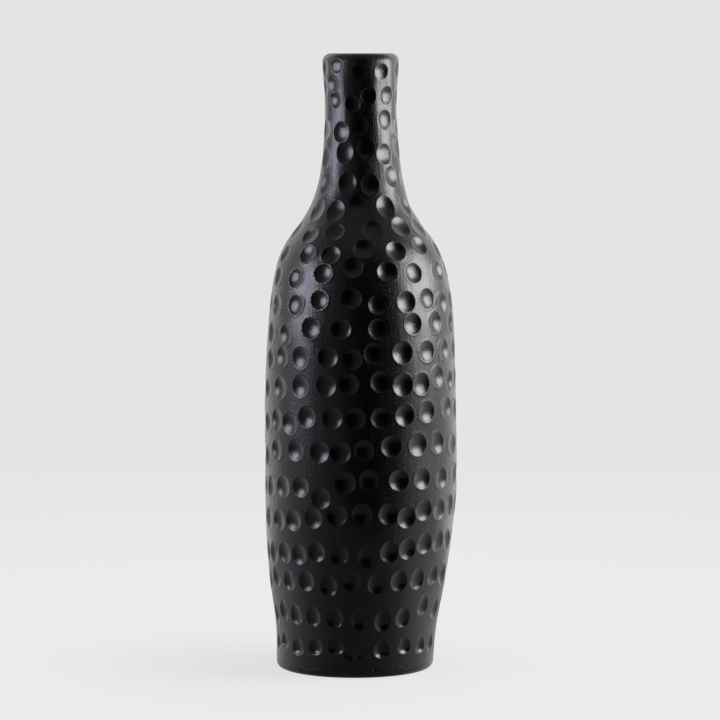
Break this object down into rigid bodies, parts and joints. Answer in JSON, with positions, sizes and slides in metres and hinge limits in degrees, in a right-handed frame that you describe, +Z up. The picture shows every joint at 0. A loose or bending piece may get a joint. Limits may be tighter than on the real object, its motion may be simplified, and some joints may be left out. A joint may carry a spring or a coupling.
{
  "type": "clay pot",
  "caption": "Tall black clay bottle pot with a swelling body, narrow neck, round open mouth and rows of pressed dimples all over.",
  "frame": {"origin": "on the ground under the axis of the belly", "axes": "+Z up along the axis; the front of the pot, whose dimples were placed one by one, faces -Y; +X is to the right of a viewer who faces the front"},
  "size_m": [0.0968, 0.0968, 0.31],
  "materials": {
    "black_clay": "satin"
  },
  "bodies": {
    "root": {"base_slab": "black_clay", "lower_wall": "black_clay", "upper_wall": "black_clay", "shoulder": "black_clay", "neck_collar": "black_clay", "lip_coil": "black_clay"}
  },
  "joints": []
}
